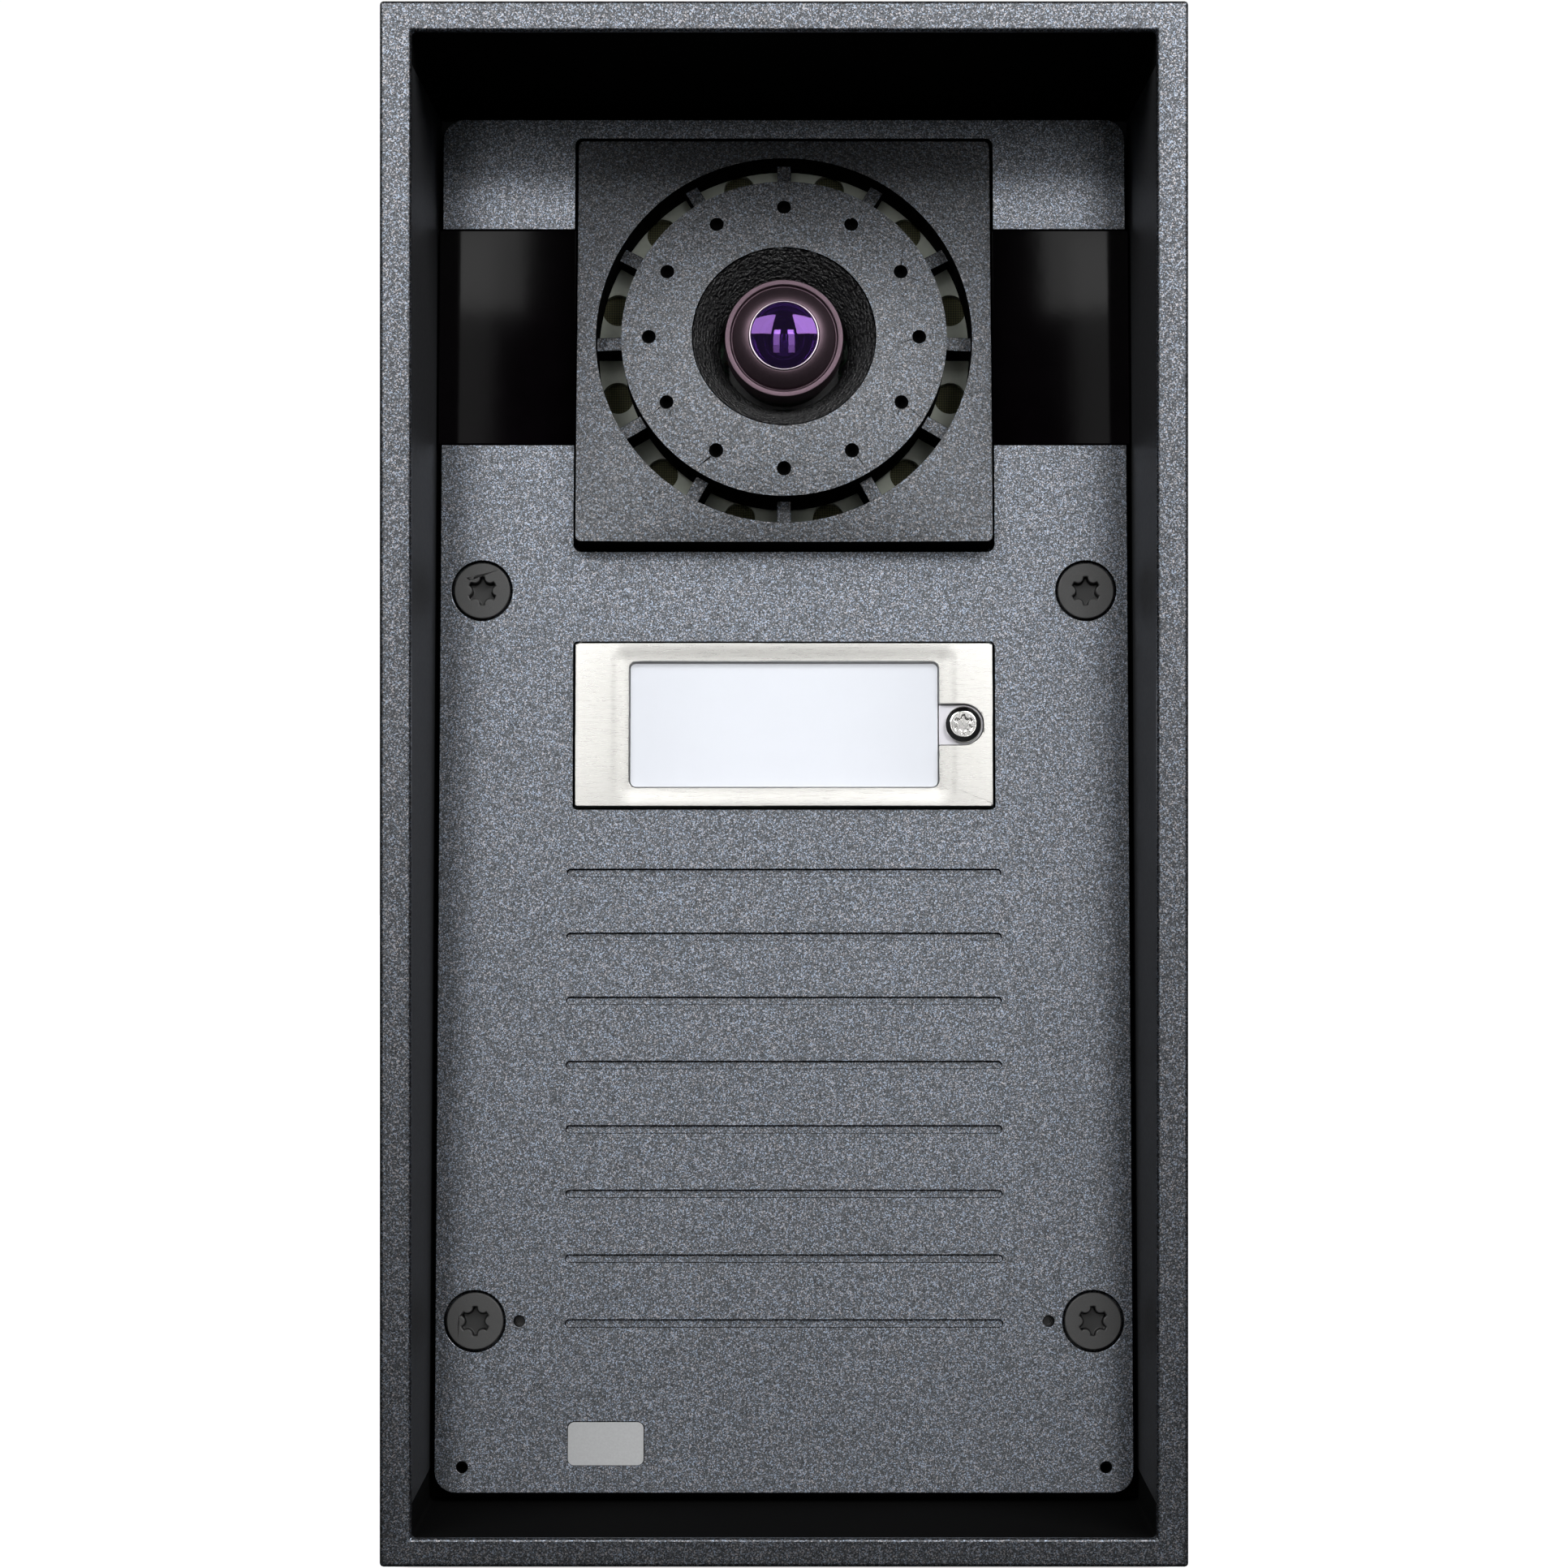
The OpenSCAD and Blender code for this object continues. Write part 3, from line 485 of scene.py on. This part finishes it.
def recessed(name, colour):
    """Blackened steel, with painted shade, nearly black, down in its drive."""
    p = Painter(name)
    dark, light = (tuple(c * share for c in colour) for share in (0.88, 1.1))
    grain = p.ramp(p.noise(0.15 * MM, 3), [(0.3, dark), (0.7, light)])
    # painted shade: deeper than the drive's start the colour turns nearly black
    low = p.math("LESS_THAN", p.along(OUT), -DRIVE_SHADE_START)
    p.paint(p.mixed(low, grain, (0.008, 0.008, 0.008)))
    p.rough(p.noise(1.2 * MM), 0.4, 0.52)
    return p.material


def studio_floor(name):
    """Pale floor that stays white into the distance."""
    p = Painter(name, Roughness=0.6, Emission_Color=(1, 1, 1, 1))
    x, y, _ = p.axes()
    far = p.math("ADD", p.math("POWER", x, 2), p.math("POWER", y, 2))
    p.paint(p.ramp(p.noise(20 * MM), [(0.3, (0.69, 0.69, 0.69)), (0.7, (0.71, 0.71, 0.71))]))
    p.join(p.span(far, 0.75, 1.2), p.shader.inputs["Emission Strength"])
    return p.material


def make_materials():
    return {
        "housing_paint": powder_coat(
            "housing_paint", (0.026, 0.028, 0.031), (0.069, 0.072, 0.078), (0.147, 0.153, 0.162),
            0.15 * MM, 0.5 * MM, 0.02 * MM, recess_liner_and_shade, 0.92,
        ),
        "panel_paint": powder_coat(
            "panel_paint", (0.029, 0.031, 0.0345), (0.072, 0.0765, 0.083), (0.143, 0.151, 0.163),
            0.14 * MM, 0.45 * MM, 0.015 * MM, shaded_side_walls, 0.8,
        ),
        "block_paint": powder_coat(
            "block_paint", (0.042, 0.0435, 0.046), (0.09, 0.0935, 0.099), (0.158, 0.164, 0.172),
            0.16 * MM, 0.55 * MM, 0.12 * MM, block_shade, 0.75, 1.9, 0.24,
        ),
        "smoked_window": grained(
            "smoked_window", (0.0015, 0.001, 0.0015), 0.2, 3 * MM, (0.03, 0.06), 0.001 * MM,
            Specular_IOR_Level=0.03,
        ),
        "nickel": brushed("nickel", (0.44, 0.433, 0.415), (0.24, 0.32), 0.0015 * MM, 0.07 * MM),
        # painted light: the label's emission makes it glow brighter, though it is no lamp
        "label_paper": grained(
            "label_paper", (0.57, 0.6, 0.645), 0.015, 0.3 * MM, (0.6, 0.7), 0.004 * MM,
            Emission_Strength=0.27, Emission_Color=(0.94, 0.97, 1, 1),
        ),
        "clear_plastic": milky_by_screw("clear_plastic"),
        "frosted_plastic": grained("frosted_plastic", (0.9, 0.92, 0.94), 0.03, 0.5 * MM, (0.4, 0.55)),
        "black_screw": recessed("black_screw", (0.048, 0.048, 0.048)),
        "polished_steel": grained(
            "polished_steel", (0.78, 0.77, 0.75), 0.05, 0.5 * MM, (0.1, 0.2), 0.003 * MM, Metallic=1.0
        ),
        "badge_metal": grained("badge_metal", (0.36, 0.365, 0.37), 0.05, 0.3 * MM, (0.5, 0.6), 0.003 * MM),
        "black_rubber": grained("black_rubber", (0.02, 0.02, 0.02), 0.3, 0.5 * MM, (0.6, 0.75), 0.02 * MM),
        "silicone": grained("silicone", (0.5, 0.5, 0.5), 0.08, 0.6 * MM, (0.5, 0.6)),
        "black_plastic": grained("black_plastic", (0.022, 0.022, 0.024), 0.25, 0.4 * MM, (0.4, 0.55), 0.02 * MM),
        "shroud_plastic": grained(
            "shroud_plastic", (0.022, 0.022, 0.023), 0.95, 0.6 * MM, (0.25, 0.4), 2.5 * MM,
            Specular_IOR_Level=0.8,
        ),
        "pale_plastic": grained("pale_plastic", (0.4, 0.43, 0.36), 0.05, 0.8 * MM, (0.4, 0.5)),
        "membrane": woven("membrane", (0.09, 0.09, 0.04), 0.35 * MM),
        "barrel_anodised": grained(
            "barrel_anodised", (0.11, 0.075, 0.093), 0.15, 0.1 * MM, (0.42, 0.52), 0.006 * MM, Metallic=0.9
        ),
        "barrel_ring": grained("barrel_ring", (0.42, 0.36, 0.4), 0.06, 0.3 * MM, (0.25, 0.34), Metallic=1.0),
        "board_green": circuit_board("board_green"),
        "led_clear": grained("led_clear", (0.7, 0.7, 0.74), 0.05, 1 * MM, (0.08, 0.15), 0.002 * MM, Alpha=0.6),
        "silver_metal": grained("silver_metal", (0.62, 0.62, 0.62), 0.08, 0.4 * MM, (0.25, 0.4), Metallic=1.0),
        "magnet_steel": brushed("magnet_steel", (0.4, 0.4, 0.42), (0.3, 0.45)),
        "cone_paper": grained("cone_paper", (0.03, 0.03, 0.034), 0.4, 0.7 * MM, (0.7, 0.85), 0.05 * MM),
        "copper": brushed("copper", (0.6, 0.3, 0.15), (0.25, 0.35), 0.01 * MM, 0.2 * MM),
        "red_wire": grained("red_wire", (0.45, 0.03, 0.03), 0.1, 0.6 * MM, (0.35, 0.45)),
        "ribbon_film": grained("ribbon_film", (0.7, 0.7, 0.64), 0.06, 1 * MM, (0.3, 0.4)),
        "plunger_red": grained("plunger_red", (0.55, 0.08, 0.05), 0.08, 0.5 * MM, (0.35, 0.45)),
        "plunger_ivory": grained("plunger_ivory", (0.78, 0.74, 0.6), 0.05, 0.5 * MM, (0.35, 0.45)),
        "terminal_green": grained("terminal_green", (0.03, 0.25, 0.09), 0.08, 0.8 * MM, (0.35, 0.45)),
        "relay_blue": grained("relay_blue", (0.03, 0.09, 0.3), 0.08, 0.8 * MM, (0.25, 0.35)),
        "capacitor_sleeve": grained("capacitor_sleeve", (0.03, 0.04, 0.08), 0.15, 1 * MM, (0.2, 0.3)),
        "heat_silicone": grained("heat_silicone", (0.25, 0.35, 0.5), 0.1, 0.5 * MM, (0.6, 0.7)),
        "lens_glass": grained(
            "lens_glass", (0.14, 0.08, 0.28), 0.06, 2 * MM, (0.01, 0.02), 0.0,
            Transmission_Weight=0.95, IOR=1.75, Specular_Tint=(0.5, 0.24, 0.85, 1),
        ),
        "floor": studio_floor("floor"),
    }


# ---- CAD nodes that stay, with softened edges ----


# Faces that turn less than FLATNESS, in degrees, are merged; a swelling face needs FACE_FLATNESS to stay whole.
# Edges that turn more than EDGE_ANGLE are rounded, in EDGE_STEPS steps. Points closer than TINY are one.
FLATNESS = 0.5
FACE_FLATNESS = 0.02
EDGE_ANGLE = 30
EDGE_STEPS = 3
TINY = 1e-6


def soften(obj, width, flatness=FLATNESS):
    """Rounds the edges of a carried-over node with modifiers, and leaves its mesh as it is."""
    weld = obj.modifiers.new("weld", "WELD")
    weld.merge_threshold = TINY
    merge = obj.modifiers.new("merge", "DECIMATE")
    merge.decimate_type = "DISSOLVE"
    merge.angle_limit = math.radians(flatness)
    bevel = obj.modifiers.new("bevel", "BEVEL")
    bevel.width = width
    bevel.segments = EDGE_STEPS
    bevel.limit_method = "ANGLE"
    bevel.angle_limit = math.radians(EDGE_ANGLE)
    bevel.harden_normals = False
    bevel.use_clamp_overlap = False
    normals = obj.modifiers.new("normals", "WEIGHTED_NORMAL")
    normals.keep_sharp = False


SOFT_EDGES = {
    "cast_body": 0.5 * MM,
    "front_panel": 0.12 * MM,
    "panel_screws": 0.2 * MM,
    "label_screw": 0.12 * MM,
    "label_cover": 0.15 * MM,
    "ir_window_left": 0.2 * MM,
    "ir_window_right": 0.2 * MM,
    "badge": 0.02 * MM,
    "cable_grommets": 0.3 * MM,
    "vent_plug": 0.2 * MM,
}


def dress_nodes(materials):
    ports = ported("microphone_can", (0.6, 0.6, 0.6))
    for name, obj in nodes.items():
        material = ports if name == "microphones" else materials[SLOT_OF[name]]
        obj.data.materials.clear()
        obj.data.materials.append(material)
        for face in obj.data.polygons:
            face.material_index = 0
        if name in SOFT_EDGES:
            soften(obj, SOFT_EDGES[name])


# ---- Pieces that stand for CAD nodes ----

SLOT_OF = {s["node"]: s["material_slot"] for s in frame["record"]["subparts"]}
BODY_OF = {node: body for body, held in behaviour["bodies"].items() for node in held}


# Edges that turn more than this, in degrees, are shaded sharp; and how alike two normals are that face the same way
SHARP_ANGLE = 35
FACING = 0.8


def placed(name, form, node, materials, front=None):
    """Turns a bmesh into the piece that stands for a node, with that node's body and finish.

    front gives the normals of the points on a swelling face, by the points' indices. A face that has only some of
    those points takes their normals where it faces the same way.
    """
    if not front:
        bmesh.ops.recalc_face_normals(form, faces=form.faces)
    mesh = bpy.data.meshes.new(name)
    form.to_mesh(mesh)
    form.free()
    mesh.shade_smooth()
    mesh.set_sharp_from_angle(angle=math.radians(SHARP_ANGLE))
    if front:
        normals = [Vector(n.vector) for n in mesh.corner_normals]
        for face in mesh.polygons:
            whole = all(v in front for v in face.vertices)
            for i in face.loop_indices:
                wanted = front.get(mesh.loops[i].vertex_index)
                if wanted and (whole or wanted.dot(face.normal) > FACING):
                    normals[i] = wanted
        mesh.normals_split_custom_set([n[:] for n in normals])
    mesh.materials.append(materials[SLOT_OF[node]])
    piece = bpy.data.objects.new(name, mesh)
    bpy.context.scene.collection.objects.link(piece)
    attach(piece, BODY_OF[node])
    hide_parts(node)
    return piece


# Steps of a rounded corner, the most of an edge that a corner takes, and steps of a full turn
FILLET_STEPS = 4
FILLET_SHARE = 0.45
TURN_STEPS = 144


def filleted(points, radius):
    """A closed profile with its corners rounded. Points on the axis stay."""
    made = []
    for i, point in enumerate(points):
        here = Vector(point)
        if here.x == 0:
            made.append(here)
            continue
        back = Vector(points[i - 1]) - here
        ahead = Vector(points[(i + 1) % len(points)]) - here
        cut = min(radius, FILLET_SHARE * back.length, FILLET_SHARE * ahead.length)
        start = here + back.normalized() * cut
        end = here + ahead.normalized() * cut
        for k in range(FILLET_STEPS + 1):
            t = k / FILLET_STEPS
            made.append(start * (1 - t) ** 2 + here * 2 * t * (1 - t) + end * t * t)
    return made


def arc(radius_in, out_in, radius_out, out_out, bulge, steps=14):
    """Points from one place of a profile to another, bowed out in the middle."""
    points = []
    for k in range(steps + 1):
        t = k / steps
        swell = bulge * 4 * t * (1 - t)
        points.append((radius_in + (radius_out - radius_in) * t, out_in + (out_out - out_in) * t + swell))
    return points


def dome(edge_radius, edge_out, height, steps=16):
    """A round cap's profile, from its edge in to the axis."""
    ball = (edge_radius ** 2 + height ** 2) / (2 * height)
    lean = math.asin(edge_radius / ball)
    centre = edge_out + height - ball
    angles = [lean * (1 - k / steps) for k in range(steps + 1)]
    return [(ball * math.sin(a) if k < steps else 0.0, centre + ball * math.cos(a)) for k, a in enumerate(angles)]


def turned(profile, shape=None):
    """A closed profile of (radius, out) places turned about the camera's axis, and then moved by shape()."""
    form = bmesh.new()
    rings = []
    for radius, out in profile:
        around = [0] if radius == 0 else [2 * math.pi * i / TURN_STEPS for i in range(TURN_STEPS)]
        places = [(radius * math.cos(a), radius * math.sin(a), out) for a in around]
        if shape:
            places = [shape(*place) for place in places]
        rings.append([form.verts.new(spot(*place)) for place in places])
    for inner, outer in zip(rings, rings[1:] + rings[:1]):
        if len(inner) == 1 and len(outer) == 1:
            continue
        for i in range(TURN_STEPS):
            corners = [inner[i % len(inner)], inner[(i + 1) % len(inner)]]
            corners += [outer[(i + 1) % len(outer)], outer[i % len(outer)]]
            form.faces.new(list(dict.fromkeys(corners)))
    return form


# A point less than this below the face is on it, and how far apart heights are taken for its slope, in millimetres
ON_FACE = 0.06
SLOPE_STEP = 0.05


def refined(node, edge, cuts_across, cuts_up, before, after, fade, front):
    """A finer copy of a node's mesh: its edges rounded, and its front face brought from one height to another.

    Faces that reach above front are cut at the given places. before() and after() give the heights, and the move
    dies out between the two heights of fade. Also gives the normals of the points on the face.
    """
    rough = bpy.data.objects.new("rough", nodes[node].data.copy())
    bpy.context.scene.collection.objects.link(rough)
    soften(rough, edge, FACE_FLATNESS)
    whole = rough.evaluated_get(bpy.context.evaluated_depsgraph_get())
    form = bmesh.new()
    form.from_mesh(whole.to_mesh())
    whole.to_mesh_clear()
    bpy.data.objects.remove(rough)
    bmesh.ops.triangulate(form, faces=form.faces)
    for axis, cuts in ((ACROSS, cuts_across), (UP, cuts_up)):
        for cut in cuts:
            near = [f for f in form.faces if max(place_of(v.co)[2] for v in f.verts) > front]
            parts = near + list({e for f in near for e in f.edges}) + list({v for f in near for v in f.verts})
            place = CAMERA_SPOT + axis * cut * MM
            bmesh.ops.bisect_plane(form, geom=parts, plane_co=place, plane_no=axis, dist=TINY)
    form.verts.index_update()
    normals = {}
    for v in form.verts:
        a, u, o = place_of(v.co)
        moved = (after(a, u) - before(a, u)) * ease((o - fade[0]) / (fade[1] - fade[0]))
        if o > before(a, u) - ON_FACE:
            moved = after(a, u) - o
            rise = (after(a + SLOPE_STEP, u) - after(a - SLOPE_STEP, u)) / (2 * SLOPE_STEP)
            climb = (after(a, u + SLOPE_STEP) - after(a, u - SLOPE_STEP)) / (2 * SLOPE_STEP)
            normals[v.index] = (OUT - ACROSS * rise - UP * climb).normalized()
        v.co = spot(a, u, o + moved)
    form.normal_update()
    return form, normals


def steps_between(low, high, count):
    """The inner places that split a length into a count of equal steps."""
    return [low + (high - low) * i / count for i in range(1, count)]


def ease(t):
    """From 0 to 1 as t does, with a soft start and end."""
    t = max(0.0, min(1.0, t))
    return t * t * (3 - 2 * t)


# How the block is refined: rounding of its edges, steps each way, the height above which faces are cut, the heights
# between which its swelling dies out, and how far its face rolls off at the lower edge
BLOCK_EDGE = 0.1 * MM
BLOCK_STEPS = 36
BLOCK_CUT_ABOVE = -1.5
BLOCK_FADE = (-3, 1)
ROLL_OFF = 1.3


def round_face(across, up):
    """Height of the CAD block's face, which leans and has a round crown."""
    far = min(BLOCK, math.hypot(across, up))
    return BLOCK_FACE - up * FACE_LEAN + math.sqrt(CROWN_BALL ** 2 - far ** 2) - CROWN_BALL + CROWN


def pillow_face(across, up):
    """The same face with a crown that dies out along all four edges, and rolls off at the lower one."""
    a = min(1.0, abs(across) / BLOCK)
    b = min(1.0, abs(up) / BLOCK)
    low = max(0.0, -up / BLOCK)
    roll = ROLL_OFF * low ** 4 * (1 - 0.6 * a ** 2)
    return BLOCK_FACE - up * FACE_LEAN + CROWN * (1 - a ** 2) * (1 - b ** 2) - roll


def make_block(materials):
    """The camera block, with its edges rounded and its face swelling like a pillow."""
    grid = steps_between(-BLOCK, BLOCK, BLOCK_STEPS)
    form, normals = refined(
        "camera_housing", BLOCK_EDGE, grid, grid, round_face, pillow_face, BLOCK_FADE, BLOCK_CUT_ABOVE
    )
    placed("camera_block", form, "camera_housing", materials, front=normals)


# The shroud's front edge follows the block's face; its lean sets in over these heights
SHROUD_FACE = 6.25
LEAN_START = -2
LEAN_OVER = 8


def make_lens(materials):
    """The shroud, barrel, bright ring and glasses, turned from profiles of (radius, out) in millimetres."""

    def leaning(across, up, out):
        return across, up, out - up * FACE_LEAN * ease((out - LEAN_START) / LEAN_OVER)

    cone = [(9.3, -6.0)] + arc(9.3, -2.5, 13.05, SHROUD_FACE, 0.55) + [(13.12, -6.0)]
    placed("lens_cone", turned(cone, shape=leaning), "lens_shroud", materials)
    barrel = [(5.05, -12), (6.0, -12), (6.0, -1.5), (8.5, -1.5), (8.5, 4.7), (7.75, 4.7), (7.65, 4.1), (7.38, 4.1)]
    barrel += arc(7.3, 4.9, 5.4, 6.5, 0.22, 6) + [(5.05, 6.6)]
    placed("lens_tube", turned(filleted(barrel, 0.14)), "lens_barrel", materials)
    ring = [(4.8, 6.62), (4.8, 6.85), (5.02, 6.85), (5.02, 6.62)]
    placed("lens_bright_ring", turned(filleted(ring, 0.09)), "lens_ring", materials)
    front = [(4.75, 3.9)] + dome(4.75, 6.7, 0.9) + [(0.0, 6.0)] + dome(4.2, 3.9, 2.1)[-2::-1]
    placed("lens_front_glass", turned(front), "front_lens", materials)
    inner = [(3.2, -1.0)] + dome(3.2, 1.0, 1.8)[:10] + [(1.35, 2.62), (1.35, 2.75), (1.2, 2.75), (1.15, 1.6)]
    inner += dome(1.1, 1.4, 0.6, 8) + [(0.0, -1.0)]
    placed("lens_inner_glass", turned(inner), "inner_lens", materials)


# How the bezel is refined: rounding of its edges, steps across and up, the height above which faces are cut, and
# the heights between which the change dies out
BEZEL_EDGE = 0.2 * MM
BEZEL_STEPS = (60, 32)
BEZEL_CUT_ABOVE = 0.6
BEZEL_FADE = (0.4, 1.5)

# The bezel's face: its height, half its own and its window's height, the window's right end and its inset on the
# left, how deep and how far around the window it is dished, and how far it falls off at its ends and long edges
BEZEL_FACE = 1.6
BEZEL_HALF_HEIGHT = 11.75
WINDOW_HALF_HEIGHT = 8.95
WINDOW_RIGHT = 22.1
WINDOW_INSET = 0.1
DISH_DEPTH = 0.14
DISH_REACH = 2.8
END_FALL = 0.12
EDGE_FALL = 0.05


def make_bezel(materials):
    """The button's bezel, with its edges rounded and its face slightly dished around the window."""
    low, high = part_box("button_bezel")
    middle_up = place_of((low + high) / 2)[1]
    half_width = (high - low).x / 2 / MM
    window_left = place_of(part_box("label_cover")[0])[0] + WINDOW_INSET

    def flat(across, up):
        return BEZEL_FACE

    def dished(across, up):
        away_across = max(window_left - across, across - WINDOW_RIGHT, 0)
        away_up = max(abs(up - middle_up) - WINDOW_HALF_HEIGHT, 0)
        dish = DISH_DEPTH * ease(1 - math.hypot(away_across, away_up) / DISH_REACH)
        a = min(1.0, abs(across) / half_width)
        b = min(1.0, abs(up - middle_up) / BEZEL_HALF_HEIGHT)
        return BEZEL_FACE - dish - END_FALL * a ** 4 - EDGE_FALL * b ** 4

    across = steps_between(-half_width, half_width, BEZEL_STEPS[0])
    up = steps_between(middle_up - BEZEL_HALF_HEIGHT, middle_up + BEZEL_HALF_HEIGHT, BEZEL_STEPS[1])
    form, normals = refined("button_bezel", BEZEL_EDGE, across, up, flat, dished, BEZEL_FADE, BEZEL_CUT_ABOVE)
    placed("button_frame", form, "button_bezel", materials, front=normals)


def make_domes(materials):
    """The rubber domes under the button, as a still piece with a mesh of its own; the real ones give way as it is
    pressed.
    """
    form = bmesh.new()
    form.from_mesh(nodes["return_domes"].data)
    piece = placed("soft_domes", form, "return_domes", materials)
    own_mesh(piece)


materials = make_materials()
make_camera()
for lamp in LAMPS:
    soft_light(*lamp)
make_world()
make_floor(materials["floor"])
dress_nodes(materials)
make_block(materials)
make_lens(materials)
make_bezel(materials)
make_domes(materials)
bpy.context.scene.view_settings.view_transform = "Standard"
